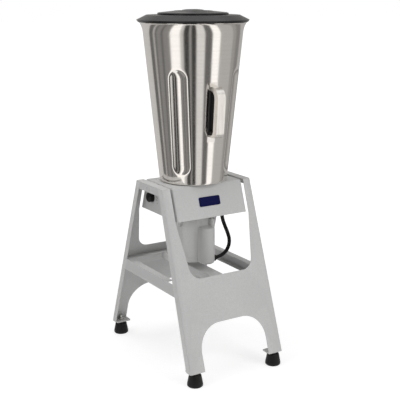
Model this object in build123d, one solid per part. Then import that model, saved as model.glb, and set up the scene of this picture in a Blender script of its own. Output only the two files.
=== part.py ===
from build123d import *
import math
import os

os.makedirs("parts", exist_ok=True)

# Driving dimensions, in millimetres.
# +X is the machine's right, +Y its rear and +Z up. The origin is on the floor,
# under the middle of the machine.

# Stand
stand_top = 604.0
leg_bottom = 46.0
plate_lean = 18.46
side_lean = 1.05
half_depth_top = 87.3
half_width_top = 169.6
sheet = 2.0
bend = 5.0
flange_depth = 27.0
arm_width = 28.6
leg_width = 55.0
window_drop = 110.0
window_taper = 8.5
window_corner = 40.0
front_window_sill = 322.0
rear_window_sill = 345.0
arch_top = 182.0
arch_corner = 80.0
apron_height = 25.4
lip_height = 8.0

# Rails
rail_top = 311.0
rail_height = 39.0
rail_flange = 22.0
rail_notch = 38.0
cross_flange = 25.0
centre_rail_width = 50.0
centre_rail_height = 24.0
centre_rail_overlap = 20.0

# Feet
foot_radius = 25.5
foot_top_radius = 20.0
foot_height = 40.0
foot_inset_x = 26.8
foot_inset_y = 16.4
foot_plate = 4.0
foot_plate_depth = 34.0
stud_radius = 5.0
stud_depth = 22.0
stud_proud = 7.0
foot_nut_height = 8.0
foot_nut_flats = 17.0

# Tilting head
head_side_gap = 7.5
head_height = 104.0
head_sheet = 2.0
head_fold = 7.0
head_lip = 14.0
shaft_opening = 34.0
base_plate_fit = 0.3
motor_hole = 78.0
pivot_drop = 14.0
pivot_radius = 7.0
bush_wall = 2.5
bush_flange_radius = 12.0
bush_flange = 1.5
boss_wall = 3.5
pin_head_radius = 11.0
pin_head = 5.0
pin_proud = 0.6
doubler_size = 60.0
doubler = 4.0
stop_pin_radius = 5.0
stop_pin_drop = 84.0
stop_collar_radius = 8.0
stop_collar = 3.0

# Clearances
run_fit = 0.05
seat_fit = 0.05
stop_gap = 0.3
thrust_gap = 0.3
weld_gap = 0.2
thread_fit = 0.05

# Motor
motor_radius = 72.0
motor_wall = 5.0
motor_drop = 274.0
frame_lift = 20.0
frame_length = 120.0
mount_plate = 10.0
mount_plate_end_gap = 9.5
mount_plate_width = 164.0
bell_flange_radius = 86.0
bell_flange = 9.0
bell_neck_radius = 60.0
bell_skirt_height = 40.0
bell_cone_height = 20.0
bell_spigot = 5.0
bell_rim_proud = 2.0
bell_chamfer = 4.0
bell_rim_height = 9.0
low_bell_floor = 8.0
bell_wall = 6.0
lug_radius = 9.0
lug_reach = 79.0
lug_height = 10.0
lug_count = 4
lug_azimuth = 290.0
screw_radius = 3.0
screw_head_radius = 5.5
screw_head = 5.0
stator_radius_in = 40.0
stator_length = 70.0
air_gap = 0.5
shaft_radius = 11.0
bearing_radius_in = 11.0
bearing_radius_out = 26.0
bearing_width = 15.0
low_bearing_radius = 20.0
low_bearing_width = 12.0
bearing_gap = 0.3
fan_radius = 58.0
fan_height = 14.0
fan_rise = 6.0
fan_blades = 8
flange_screw_circle = 75.0
flange_screw_radius = 4.0

# Capacitor and motor lead
cover_radius = 26.0
cover_reach = 111.0
cover_lift = 4.0
cover_height = 124.0
cover_sheet = 1.5
cover_round = 9.0
saddle_angle = 52.0
saddle_sheet = 2.2
capacitor_radius = 17.0
capacitor_height = 92.0
lead_radius = 6.25
lead_plane = -60.0
gland_radius = 11.0
motor_gland_lift = 7.0
motor_gland_end = 53.0
motor_gland_root = 34.0
gland_wall = 3.2
lead_gap = 0.8
lead_trim = 0.45

# Switch, knob and plate
knob_radius = 17.0
knob_height = 15.0
knob_gap = 0.4
knob_y = 43.5
knob_drop = 53.5
knob_flutes = 12
knob_flute_radius = 2.0
knob_pointer = 3.0
knob_skirt = 5.0
spindle_radius = 3.0
switch_size = 44.0
switch_depth = 42.0
name_plate_width = 80.0
name_plate_height = 31.0
name_plate_corner = 5.0
name_plate_sheet = 1.0
name_plate_x = -3.0
name_plate_drop = 53.5

# Cup
cup_base_radius = 112.0
cup_shoulder_radius = 161.0
cup_rim_radius = 172.0
cup_rise = 513.0
cup_flare = 31.0
cup_sheet = 1.5
cup_base_round = 5.0
rim_bead = 2.2
gasket = 1.2
gasket_radius = 80.0
cup_floor = 3.0
flute_radius = 38.0
flute_depth = 13.0
flute_low_rise = 64.0
flute_high_rise = 344.0
flute_count = 4
cup_bolt_circle = 70.0
cup_bolt_radius = 4.0
cup_bolt_head = 6.0
cup_bolt_head_radius = 7.0
seal_radius = 26.0
seal_height = 15.0

# Handle
handle_azimuth = 264.0
handle_top_rise = 322.0
handle_low_rise = 164.0
handle_reach = 62.0
handle_width = 27.0
handle_strap = 3.0
handle_bend = 36.0
handle_bend_low = 24.0
handle_flange = 23.0
handle_flange_top = 12.0
handle_flange_low = 6.0
handle_tab_top = 11.0
handle_tab_low = 20.0
handle_tab_sheet = 3.0
liner_pad = 7.0
liner_proud = 1.5
liner_end = 13.0
liner_corner = 6.0

# Blades
blade_length = 164.0
blade_point = 20.0
blade_width = 24.0
blade_sheet = 3.0
blade_tip_rise = 22.0
blade_flat = 56.0
hub_radius = 17.0
hub_gap = 3.0
hub_height = 22.0
blade_nut_radius = 11.0
blade_nut_wall = 4.0
shaft_end_drop = 3.0
blade_nut_height = 13.0

# Lid and filler cap
lid_radius = 181.0
lid_lip_low = 1.8
lid_lip_wall = 2.4
lid_disc_crown = 1.5
lid_lip_crown = 0.6
lid_lip_high = 8.0
lid_shoulder_radius = 150.0
lid_shoulder_rise = 23.0
lid_step_radius = 114.0
lid_step_rise = 29.0
lid_well_rise = 25.0
lid_wall = 5.0
lid_fit = 1.0
lid_plug_depth = 26.0
lid_plug_wall = 5.0
cap_radius = 64.0
cap_edge_rise = 35.5
cap_crown_rise = 40.0
cap_plug_radius = 50.0
cap_plug_depth = 16.0
cap_plug_chamfer = 3.0
cap_fit = 0.4
cap_dish_radius = 60.0
cap_dish_depth = 10.0
cap_bar_width = 68.0
cap_flat_radius = 20.0
cap_bar_azimuth = 58.0

# Heights that follow from the stand's top
pivot_height = stand_top - pivot_drop
stop_pin_height = stand_top - stop_pin_drop
window_shoulder = stand_top - window_drop
motor_bottom = stand_top - motor_drop
frame_bottom = motor_bottom + frame_lift
frame_top = frame_bottom + frame_length
cover_bottom = motor_bottom + cover_lift
motor_gland_height = motor_bottom + motor_gland_lift
knob_z = stand_top - knob_drop
name_plate_z = stand_top - name_plate_drop
cup_rim = stand_top + cup_rise
cup_shoulder = cup_rim - cup_flare
flute_low = stand_top + flute_low_rise
flute_high = stand_top + flute_high_rise
handle_top = stand_top + handle_top_rise
handle_bottom = stand_top + handle_low_rise
lid_lip_bottom = cup_rim + lid_lip_low
lid_lip_top = cup_rim + lid_lip_high
lid_shoulder = cup_rim + lid_shoulder_rise
lid_step = cup_rim + lid_step_rise
lid_well = cup_rim + lid_well_rise
cap_edge = cup_rim + cap_edge_rise
cap_crown = cup_rim + cap_crown_rise

lean = math.tan(math.radians(plate_lean))
splay = math.tan(math.radians(side_lean))
plate_top = stand_top - sheet
bridge_inner = half_width_top - arm_width
bridge_bottom = stand_top - apron_height
head_half_width = bridge_inner - head_side_gap
leg_inner = half_width_top + (stand_top - leg_bottom) * splay - leg_width


def depth_at(z):
    """Distance from the middle plane to the outer face of a stand plate."""
    return half_depth_top + (stand_top - z) * lean


def width_at(z):
    """Half width of the stand at a height."""
    return half_width_top + (stand_top - z) * splay


def save(shape, name):
    """Writes one named piece."""
    export_step(shape, f"parts/{name}.step")


def group(*solids):
    """Gathers separate solids in one node."""
    return Compound(children=[s for item in solids for s in item.solids()])


def block(x0, x1, y0, y1, z0, z1):
    """A box between two corners."""
    return Pos((x0 + x1) / 2, (y0 + y1) / 2, (z0 + z1) / 2) * Box(x1 - x0, y1 - y0, z1 - z0)


def slab(low, high, z_low, z_high):
    """A ruled solid between two rectangles, each given as x0, x1, y0, y1."""
    faces = []
    for (x0, x1, y0, y1), z in ((low, z_low), (high, z_high)):
        faces.append(Pos((x0 + x1) / 2, (y0 + y1) / 2, z) * Rectangle(x1 - x0, y1 - y0))
    return loft(faces, ruled=True)


def upright(shape):
    """The edges that run mostly up and down."""
    return shape.edges().filter_by(lambda e: abs((e @ 1 - e @ 0).normalized().Z) > 0.9)


def turned(points):
    """A solid of revolution about the cup axis from radius and height pairs."""
    return revolve(make_face(Plane.XZ * Polyline(*points, close=True)), Axis.Z)


def tube(radius_out, radius_in, z0, z1):
    """An upright ring."""
    return turned([(radius_in, z0), (radius_out, z0), (radius_out, z1), (radius_in, z1)])


def rod(x0, x1, y, z, radius):
    """A round bar along X."""
    return Pos((x0 + x1) / 2, y, z) * Rot(0, 90, 0) * Cylinder(radius, x1 - x0)


def both_sides(shape):
    """A piece and its mirror image on the other side of the machine."""
    return group(shape, mirror(shape, about=Plane.YZ))


def around(shape, count, first=0.0):
    """Copies of a piece spaced evenly about the cup axis."""
    return [Rot(0, 0, first + i * 360 / count) * shape for i in range(count)]


# Stand plates: folded sheets with two flanges, a window above and an arch below
def leaning_block(z_low, z_high, inset, depth):
    """A block that follows the front plate's lean, set in by a distance from its skin."""
    ends = []
    for z in (z_low, z_high):
        x = width_at(z) - inset
        y = -depth_at(z) + inset
        ends.append((-x, x, y, y + depth))
    return slab(ends[0], ends[1], z_low, z_high)


def folded(shape, radius):
    """Rounds the two folds of a stand plate."""
    return fillet(upright(shape).sort_by(Axis.Y)[:2], radius)


def window(sill):
    """The upper cut-out, open at the top between the arms."""
    slope = math.tan(math.radians(window_taper))
    low = bridge_inner - (window_shoulder - sill) * slope
    top = stand_top + sheet
    outline = [(bridge_inner, top), (bridge_inner, window_shoulder), (low, sill)]
    outline += [(-x, z) for x, z in reversed(outline)]
    face = make_face(Polyline(*outline, close=True))
    corners = face.vertices().sort_by(Axis.Y)[:2]
    return extrude(Plane.XZ * fillet(corners, window_corner), 2 * depth_at(0))


def arch():
    """The lower cut-out between the legs."""
    low = leg_bottom - sheet
    face = make_face(Polyline((-leg_inner, low), (leg_inner, low), (leg_inner, arch_top),
                              (-leg_inner, arch_top), close=True))
    corners = face.vertices().sort_by(Axis.Y)[-2:]
    return extrude(Plane.XZ * fillet(corners, arch_corner), 2 * depth_at(0))


def stand_plate(sill):
    """The front plate, with a given height of its window sill."""
    skin = folded(leaning_block(leg_bottom, plate_top, 0, flange_depth), bend)
    hollow = leaning_block(leg_bottom - sheet, stand_top, sheet, flange_depth)
    hollow = folded(hollow, bend - sheet)
    return skin - hollow - window(sill) - arch()


save(stand_plate(front_window_sill), "front_plate")
save(mirror(stand_plate(rear_window_sill), about=Plane.XZ), "rear_plate")

# Bridges: the channel on each side that joins the arms and carries a pivot
bush_radius = pivot_radius + run_fit + bush_wall
boss_radius = bush_radius + seat_fit + boss_wall
apron_face = half_width_top - sheet
bush_inner = bridge_inner - bush_flange


def bridge():
    """The right bridge: cap, apron, stiffening lip and pivot boss."""
    cap = block(bridge_inner, half_width_top, -half_depth_top, half_depth_top, plate_top, stand_top)
    cap = fillet(upright(cap).sort_by(Axis.X)[-2:], bend)
    ends = []
    for z in (bridge_bottom, plate_top):
        y = depth_at(z) - flange_depth
        ends.append((width_at(z) - sheet, width_at(z), -y, y))
    apron = slab(ends[0], ends[1], bridge_bottom, plate_top)
    reach = half_depth_top - 2 * sheet
    lip = block(bridge_inner, bridge_inner + sheet, -reach, reach, plate_top - lip_height, plate_top)
    boss = rod(bridge_inner, apron_face, 0, pivot_height, boss_radius)
    bore = rod(bridge_inner - 1, apron_face - sheet, 0, pivot_height, bush_radius + seat_fit)
    eye = rod(apron_face - 2 * sheet, half_width_top + sheet, 0, pivot_height, pivot_radius + 2 * thrust_gap)
    return cap + apron + lip + boss - bore - eye


save(bridge(), "right_bridge")
save(mirror(bridge(), about=Plane.YZ), "left_bridge")

# Rails
rail_bottom = rail_top - rail_height


def side_rail():
    """The right side rail: a channel between the flanges of the two plates."""
    ends = []
    for z in (rail_bottom, rail_top):
        y = depth_at(z) - flange_depth
        ends.append((width_at(z) - sheet, width_at(z), -y, y))
    web = slab(ends[0], ends[1], rail_bottom, rail_top)
    half = depth_at(rail_top) - flange_depth - rail_notch
    outer = width_at(rail_top) - sheet / 2
    for z in (rail_bottom, rail_top - sheet):
        flange = block(outer - rail_flange, outer, -half, half, z, z + sheet)
        web += fillet(upright(flange).sort_by(Axis.X)[:2], bend)
    return web


def cross_rail():
    """The front cross rail: an angle that lies against the plate's inner face."""
    ends = []
    side = bend + 1
    for z in (rail_bottom, rail_top):
        x = width_at(z) - side
        y = -depth_at(z) + sheet
        ends.append((-x, x, y, y + sheet))
    web = slab(ends[0], ends[1], rail_bottom, rail_top)
    x = width_at(rail_top) - side
    y = -depth_at(rail_top) + sheet * 1.5
    return web + block(-x, x, y, y + cross_flange, rail_top - sheet, rail_top)


def centre_rail():
    """The channel under the motor, hung below the cross rails' flanges."""
    top = rail_top - sheet
    half_w = centre_rail_width / 2
    half_l = depth_at(rail_top) - 2 * sheet - cross_flange + centre_rail_overlap
    skin = block(-half_w, half_w, -half_l, half_l, top - centre_rail_height, top)
    skin = fillet(skin.edges().filter_by(Axis.Y).sort_by(Axis.Z)[-2:], sheet * 1.5)
    return skin - block(sheet - half_w, half_w - sheet, -half_l, half_l,
                        top - centre_rail_height, top - sheet)


save(side_rail(), "right_side_rail")
save(mirror(side_rail(), about=Plane.YZ), "left_side_rail")
save(cross_rail(), "front_cross_rail")
save(mirror(cross_rail(), about=Plane.XZ), "rear_cross_rail")
save(centre_rail(), "centre_rail")

# Feet: a welded plate in each leg, a stud with two nuts, and a rubber foot
foot_x = width_at(leg_bottom) - foot_inset_x
foot_y = depth_at(leg_bottom) - foot_inset_y


def foot_corners(shape):
    """Copies of a front right foot piece at all four legs."""
    return [shape, mirror(shape, about=Plane.YZ), mirror(shape, about=Plane.XZ),
            mirror(mirror(shape, about=Plane.YZ), about=Plane.XZ)]


def foot_pieces():
    """The plate, stud, nuts and rubber foot of the front right leg."""
    plate_z = leg_bottom + foot_plate
    y0 = -depth_at(plate_z) + sheet + weld_gap
    x1 = width_at(plate_z) - sheet - weld_gap
    plate = block(leg_inner, x1, y0, y0 + foot_plate_depth, leg_bottom, plate_z)
    plate = fillet(upright(plate), bend - sheet + weld_gap)
    here = Pos(foot_x, -foot_y, 0)
    plate -= here * Pos(0, 0, leg_bottom) * Cylinder(stud_radius + thread_fit, 4 * foot_plate)
    stud_low = foot_height - stud_depth
    stud_high = plate_z + foot_nut_height + stud_proud
    stud = here * Pos(0, 0, (stud_low + stud_high) / 2) * Cylinder(stud_radius, stud_high - stud_low)
    hexagon = RegularPolygon(foot_nut_flats / 2, 6, major_radius=False)
    hexagon -= Circle(stud_radius + thread_fit)
    low_nut = here * Pos(0, 0, foot_height) * extrude(hexagon, leg_bottom - foot_height)
    high_nut = here * Pos(0, 0, plate_z) * extrude(hexagon, foot_nut_height)
    edge = 3.0
    rubber = turned([(0, 0), (foot_radius - edge, 0), (foot_radius, edge),
                     (foot_radius, 3 * edge), (foot_top_radius, foot_height - edge),
                     (foot_top_radius - edge, foot_height), (0, foot_height)])
    rubber -= Pos(0, 0, foot_height) * Cylinder(stud_radius + thread_fit, 2 * stud_depth)
    return plate, stud, group(low_nut, high_nut), here * rubber


plate, stud, nuts, rubber = foot_pieces()
save(group(*foot_corners(plate)), "foot_plates")
save(group(*foot_corners(stud)), "foot_studs")
save(group(*foot_corners(nuts)), "foot_nuts")
for name, foot in zip(("front_right", "front_left", "rear_right", "rear_left"), foot_corners(rubber)):
    save(foot, f"{name}_foot")

# Pivots: a flanged bush in each boss, and a pin that turns with the head
bush = (rod(bridge_inner, apron_face - sheet, 0, pivot_height, bush_radius)
        + rod(bush_inner, bridge_inner, 0, pivot_height, bush_flange_radius)
        - rod(bush_inner - 1, apron_face, 0, pivot_height, pivot_radius + run_fit))
save(both_sides(bush), "pivot_bushes")

head_inner = head_half_width - head_sheet
pin_seat = head_inner - doubler
pin = (rod(pin_seat - pin_head, pin_seat, 0, pivot_height, pin_head_radius)
       + rod(pin_seat, half_width_top + pin_proud, 0, pivot_height, pivot_radius))
save(both_sides(pin), "pivot_pins")

washer = (rod(head_half_width + seat_fit, bush_inner - thrust_gap, 0, pivot_height, bush_flange_radius)
          - rod(head_inner, bridge_inner, 0, pivot_height, pivot_radius + seat_fit))
save(both_sides(washer), "thrust_washers")

mount_top = stand_top - head_sheet
mount_bottom = mount_top - mount_plate
head_bottom = stand_top - head_height
doubler_low = pivot_height - doubler_size / 2
doubler_plate = block(pin_seat, head_inner, -doubler_size / 2, doubler_size / 2, doubler_low, mount_top)
doubler_plate = fillet(doubler_plate.edges().filter_by(Axis.X).sort_by(Axis.Z)[:2], bend)
doubler_plate -= rod(pin_seat - 1, head_inner + 1, 0, pivot_height, pivot_radius + seat_fit)

# Head: a folded box open below, with a bolted base plate
stop_pin_y = depth_at(stop_pin_height) - flange_depth - stop_pin_radius - stop_gap
lead_exit_x = 75.0


def head_block(inset, z_low, z_high):
    """A block that follows the head's skin, set in by a distance."""
    ends = []
    for z in (z_low, z_high):
        y = depth_at(z) - inset
        ends.append((inset - head_half_width, head_half_width - inset, -y, y))
    return slab(ends[0], ends[1], z_low, z_high)


def head_housing():
    """The folded housing with its return lips."""
    skin = head_block(0, head_bottom, stand_top)
    soft = skin.edges().filter_by(lambda e: (e @ 0.5).Z > head_bottom + 1)
    skin = fillet(soft, head_fold)
    recess = head_block(head_sheet, head_bottom - 1, head_bottom + head_sheet)
    lips = head_block(head_sheet + head_lip, head_bottom, head_bottom + 2 * head_sheet)
    hollow = head_block(head_sheet, head_bottom + 2 * head_sheet, mount_top)
    hollow = fillet(upright(hollow), head_fold - head_sheet)
    skin = skin - recess - lips - hollow
    skin -= Pos(0, 0, mount_top) * Cylinder(shaft_opening, 4 * head_sheet)
    for bolt in around(Pos(cup_bolt_circle, 0, mount_top)
                       * Cylinder(cup_bolt_radius + thread_fit, 4 * head_sheet), 4, 45):
        skin -= bolt
    skin -= rod(-bridge_inner, bridge_inner, 0, pivot_height, pivot_radius + seat_fit)
    skin -= rod(-bridge_inner, -pin_seat, knob_y, knob_z, spindle_radius + knob_gap)
    skin -= rod(pin_seat, bridge_inner, stop_pin_y, stop_pin_height, stop_pin_radius + seat_fit)
    return skin


def base_plate():
    """The plate that closes the head round the motor."""
    plate = head_block(head_sheet + base_plate_fit, head_bottom, head_bottom + head_sheet - seat_fit)
    plate -= Pos(0, 0, head_bottom) * Cylinder(motor_hole, 4 * head_sheet)
    hole = Cylinder(lead_radius + gland_wall + seat_fit, 4 * head_sheet)
    return plate - Pos(lead_exit_x, lead_plane, head_bottom) * hole


save(head_housing(), "head_housing")
save(base_plate(), "head_base_plate")
save(both_sides(doubler_plate), "pivot_doublers")

# Stop pin: bears on the rear flange when upright and on the front flange when tipped
pin_length_end = width_at(stop_pin_height)
stop_pin = (rod(head_half_width + seat_fit, pin_length_end, stop_pin_y, stop_pin_height, stop_pin_radius)
            + rod(head_inner - stop_collar, head_half_width + seat_fit, stop_pin_y, stop_pin_height,
                  stop_pin_radius)
            + rod(head_half_width + seat_fit, head_half_width + stop_collar, stop_pin_y,
                  stop_pin_height, stop_collar_radius))
save(stop_pin, "stop_pin")

# Motor mount plate under the head's top
mount_plate_end = pin_seat - pin_head - mount_plate_end_gap
plate = block(-mount_plate_end, mount_plate_end, -mount_plate_width / 2,
              mount_plate_width / 2, mount_bottom, mount_top)
plate = fillet(upright(plate), bend)
plate -= Pos(0, 0, mount_bottom) * Cylinder(shaft_opening, 4 * mount_plate)
for bolt in around(Pos(cup_bolt_circle, 0, mount_bottom)
                   * Cylinder(cup_bolt_radius + thread_fit, 4 * mount_plate), 4, 45):
    plate -= bolt
flange_screw_depth = mount_plate - head_sheet
for bolt in around(Pos(flange_screw_circle, 0, mount_bottom)
                   * Cylinder(flange_screw_radius + thread_fit, 2 * flange_screw_depth), 4):
    plate -= bolt
save(plate, "motor_mount_plate")

# Motor: frame tube, two end bells, stator, rotor, bearings and fan
frame_inner = motor_radius - motor_wall
bell_flange_low = mount_bottom - bell_flange
upper_bearing_top = bell_flange_low
upper_bearing_low = upper_bearing_top - bearing_width
bell_seat = bearing_radius_out + seat_fit
bell_shoulder = bearing_radius_out - bell_wall
bell_skirt_top = frame_top + bell_skirt_height
bell_neck_low = bell_skirt_top + bell_cone_height
lug_azimuths = [lug_azimuth + i * 360 / lug_count for i in range(lug_count)]


def lug(z_low):
    """One bolt lug on the motor's side, at azimuth 0."""
    ear = Pos(lug_reach, 0, z_low + lug_height / 2) * Cylinder(lug_radius, lug_height)
    root = block(motor_radius - motor_wall / 2, lug_reach, -lug_radius, lug_radius, z_low, z_low + lug_height)
    hole = Pos(lug_reach, 0, z_low) * Cylinder(screw_radius + thread_fit, 4 * lug_height)
    return ear + root - hole


def with_lugs(shape, z_low):
    """Adds the ring of bolt lugs."""
    for azimuth in lug_azimuths:
        shape += Rot(0, 0, azimuth) * lug(z_low)
    return shape


motor_frame = with_lugs(tube(motor_radius, frame_inner, frame_bottom, frame_top), frame_top - lug_height)
save(motor_frame, "motor_frame")

top_bell = turned([(motor_radius, frame_top), (motor_radius, bell_skirt_top),
                   (bell_neck_radius, bell_neck_low), (bell_neck_radius, bell_flange_low),
                   (bell_flange_radius, bell_flange_low), (bell_flange_radius, mount_bottom),
                   (bell_seat, mount_bottom), (bell_seat, upper_bearing_low),
                   (bell_shoulder, upper_bearing_low), (bell_shoulder, upper_bearing_low - bell_wall),
                   (bell_neck_radius - bell_wall, upper_bearing_low - bell_wall),
                   (bell_neck_radius - bell_wall, bell_neck_low + bell_wall / 2),
                   (motor_radius - bell_wall, bell_skirt_top - bell_wall / 2),
                   (motor_radius - bell_wall, frame_top)])
top_bell = with_lugs(top_bell, frame_top)
for hole in around(Pos(flange_screw_circle, 0, mount_bottom)
                   * Cylinder(flange_screw_radius + thread_fit, 4 * bell_flange), 4):
    top_bell -= hole
save(top_bell, "motor_top_bell")

low_floor = motor_bottom + low_bell_floor
low_bearing_top = low_floor + low_bearing_width
low_seat = low_bearing_radius + seat_fit
bell_rim = motor_radius + bell_rim_proud
low_web = low_floor - 1
bottom_bell = turned([(0, motor_bottom), (bell_neck_radius, motor_bottom),
                      (bell_rim - bell_chamfer, motor_bottom + bell_chamfer),
                      (bell_rim, motor_bottom + bell_rim_height), (bell_rim, frame_bottom),
                      (frame_inner, frame_bottom), (frame_inner, frame_bottom - bell_spigot),
                      (bell_neck_radius - 2, low_web), (low_seat + bell_wall, low_web),
                      (low_seat + bell_wall, low_bearing_top),
                      (low_seat, low_bearing_top), (low_seat, low_floor), (0, low_floor)])
save(bottom_bell, "motor_bottom_bell")

lug_screw = turned([(0, frame_top - lug_height), (screw_radius, frame_top - lug_height),
                    (screw_radius, frame_top + lug_height), (screw_head_radius, frame_top + lug_height),
                    (screw_head_radius, frame_top + lug_height + screw_head),
                    (0, frame_top + lug_height + screw_head)])
lug_screws = [Rot(0, 0, a) * Pos(lug_reach, 0, 0) * lug_screw for a in lug_azimuths]
save(group(*lug_screws), "motor_lug_screws")

flange_screw = turned([(0, bell_flange_low - screw_head), (cup_bolt_head_radius, bell_flange_low - screw_head),
                       (cup_bolt_head_radius, bell_flange_low), (flange_screw_radius, bell_flange_low),
                       (flange_screw_radius, mount_bottom + flange_screw_depth - 1),
                       (0, mount_bottom + flange_screw_depth - 1)])
save(group(*around(Pos(flange_screw_circle, 0, 0) * flange_screw, 4)), "motor_flange_screws")

stator_low = (frame_bottom + frame_top - stator_length) / 2
stator = tube(frame_inner - seat_fit, stator_radius_in, stator_low, stator_low + stator_length)
save(stator, "stator")
save(tube(stator_radius_in - air_gap, shaft_radius + seat_fit, stator_low, stator_low + stator_length),
     "rotor_core")


def bearing(outer, bore, z_low, width):
    """The outer and inner ring of one sealed bearing."""
    middle = (outer + bore) / 2
    return (tube(outer, middle + bearing_gap / 2, z_low, z_low + width),
            tube(middle - bearing_gap / 2, bore + seat_fit, z_low, z_low + width))


upper = bearing(bearing_radius_out, bearing_radius_in, upper_bearing_low, bearing_width)
lower = bearing(low_bearing_radius, bearing_radius_in, low_floor, low_bearing_width)
save(group(upper[0], lower[0]), "bearing_outer_rings")
save(group(upper[1], lower[1]), "bearing_inner_rings")

fan_low = low_bearing_top + fan_rise
fan = tube(hub_radius, shaft_radius + seat_fit, fan_low, fan_low + fan_height)
fan_vane = block(hub_radius - 1, fan_radius, -sheet / 2, sheet / 2, fan_low, fan_low + fan_height)
for vane in around(fan_vane, fan_blades):
    fan += vane
fan += tube(fan_radius, hub_radius - 1, fan_low, fan_low + sheet)
save(fan, "cooling_fan")

# Cup: a tapered steel shell with four pressed flutes and a rolled rim
cup_bottom = stand_top + gasket
cup_floor_top = cup_bottom + cup_floor
taper = (cup_shoulder_radius - cup_base_radius) / (cup_shoulder - cup_bottom)


def wall_at(z):
    """Outer radius of the cup's straight wall."""
    return cup_base_radius + (z - cup_bottom) * taper


def cup_form(inset, z_low):
    """The solid form of the cup's outside, set in by a distance."""
    start = (wall_at(z_low) - inset, z_low)
    shoulder = (cup_shoulder_radius - inset, cup_shoulder)
    rim = (cup_rim_radius - inset, cup_rim)
    edge = cup_base_round - inset
    base = FilletPolyline((0, z_low), start, shoulder, radius=edge)
    flare = TangentArc(shoulder, rim, tangent=(taper, 1))
    top = Polyline(rim, (0, cup_rim), (0, z_low))
    return revolve(Plane.XZ * make_face(base + flare + top), Axis.Z)


flute_azimuth = handle_azimuth + 180 / flute_count


def flute(grow):
    """One pressing tool: a capsule that lies along the wall, at azimuth 0."""
    stand_off = flute_radius - flute_depth
    low = Vector(wall_at(flute_low) + stand_off, 0, flute_low)
    high = Vector(wall_at(flute_high) + stand_off, 0, flute_high)
    length = (high - low).length
    radius = flute_radius + grow
    body = Pos(0, 0, length / 2) * Cylinder(radius, length)
    body += Sphere(radius) + Pos(0, 0, length) * Sphere(radius)
    return Plane(origin=low, z_dir=high - low) * body


def cup():
    """The cup with its floor, flutes and rolled rim."""
    outside = cup_form(0, cup_bottom)
    inside = cup_form(cup_sheet, cup_floor_top)
    for tool in around(flute(0), flute_count, flute_azimuth):
        outside -= tool
    for tool in around(flute(cup_sheet), flute_count, flute_azimuth):
        inside -= tool
    shell = outside - inside
    shell += Pos(0, 0, cup_rim) * Torus(cup_rim_radius - cup_sheet / 2, rim_bead)
    shell -= Pos(0, 0, cup_bottom) * Cylinder(seal_radius - bell_wall + seat_fit, 4 * cup_floor)
    for bolt in around(Pos(cup_bolt_circle, 0, cup_bottom)
                       * Cylinder(cup_bolt_radius + thread_fit, 4 * cup_floor), 4, 45):
        shell -= bolt
    return shell


save(cup(), "cup")

gasket_ring = tube(gasket_radius, shaft_opening, stand_top, cup_bottom)
for bolt in around(Pos(cup_bolt_circle, 0, cup_bottom)
                   * Cylinder(cup_bolt_radius + thread_fit, 4 * gasket), 4, 45):
    gasket_ring -= bolt
save(gasket_ring, "cup_gasket")

cup_bolt = turned([(0, mount_bottom + 1), (cup_bolt_radius, mount_bottom + 1), (cup_bolt_radius, cup_floor_top),
                   (cup_bolt_head_radius, cup_floor_top), (cup_bolt_head_radius, cup_floor_top + cup_bolt_head / 2),
                   (cup_bolt_radius, cup_floor_top + cup_bolt_head), (0, cup_floor_top + cup_bolt_head)])
save(group(*around(Pos(cup_bolt_circle, 0, 0) * cup_bolt, 4, 45)), "cup_bolts")

seal_bore = shaft_radius + run_fit
seal_top = cup_floor_top + seal_height
seal = turned([(seal_bore, mount_top), (seal_radius - bell_wall, mount_top),
               (seal_radius - bell_wall, cup_floor_top),
               (seal_radius, cup_floor_top), (seal_radius, cup_floor_top + bell_wall),
               (seal_bore + bell_wall, seal_top), (seal_bore, seal_top)])
save(seal, "shaft_seal")

# Shaft and blades
hub_low = seal_top + hub_gap
hub_top = hub_low + hub_height
shaft_top = hub_top + 2 * blade_sheet + blade_nut_height - shaft_end_drop
shaft_low = low_floor + 2
save(Pos(0, 0, (shaft_low + shaft_top) / 2) * Cylinder(shaft_radius, shaft_top - shaft_low), "motor_shaft")
save(tube(hub_radius, shaft_radius + seat_fit, hub_low, hub_top), "blade_hub")


def blade(z, rise):
    """A two-armed blade: flat in the middle, bent and ground to points at its tips."""
    half = blade_length / 2
    flat = blade_flat / 2
    line = [(-half, rise), (-flat, 0), (flat, 0), (half, rise)]
    over = [(x, h + blade_sheet) for x, h in reversed(line)]
    strip = extrude(Plane.XZ * make_face(Polyline(*line, *over, close=True)), blade_width / 2, both=True)
    side = blade_width / 2
    plan = make_face(Polyline((-half, 0), (-flat, -side), (flat, -side), (half, 0), (half - blade_point, side),
                              (flat, side), (-flat, side), (blade_point - half, side), close=True))
    strip &= Pos(0, 0, -blade_length) * extrude(plan, 2 * blade_length)
    strip -= Cylinder(shaft_radius + seat_fit, 8 * blade_sheet)
    return Pos(0, 0, z) * strip


save(blade(hub_top, -blade_tip_rise / 2), "lower_blade")
save(Rot(0, 0, 90) * blade(hub_top + blade_sheet, blade_tip_rise), "upper_blade")
nut_low = hub_top + 2 * blade_sheet
nut_outer = RegularPolygon(blade_nut_radius + blade_nut_wall, 6, major_radius=False)
blade_nut = Pos(0, 0, nut_low) * extrude(nut_outer, blade_nut_height)
blade_nut -= Pos(0, 0, nut_low - 1) * Cylinder(shaft_radius + seat_fit, 2 * (blade_nut_height - 2))
save(blade_nut, "blade_nut")

# Handle: a bent steel channel with a moulded liner round the finger gap
def handle_outline(top, low, reach, wall_gap, bends):
    """A side outline from the cup's wall out to a reach, with its two outer corners rounded."""
    high_corner = (wall_at(top) + reach, top)
    low_corner = (wall_at(low) + reach, low)
    face = make_face(Polyline((wall_at(top) + wall_gap, top), high_corner, low_corner,
                              (wall_at(low) + wall_gap, low), close=True))
    for corner, radius in zip((high_corner, low_corner), bends):
        face = fillet(face.vertices().sort_by_distance(corner)[0], radius)
    return face


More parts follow.
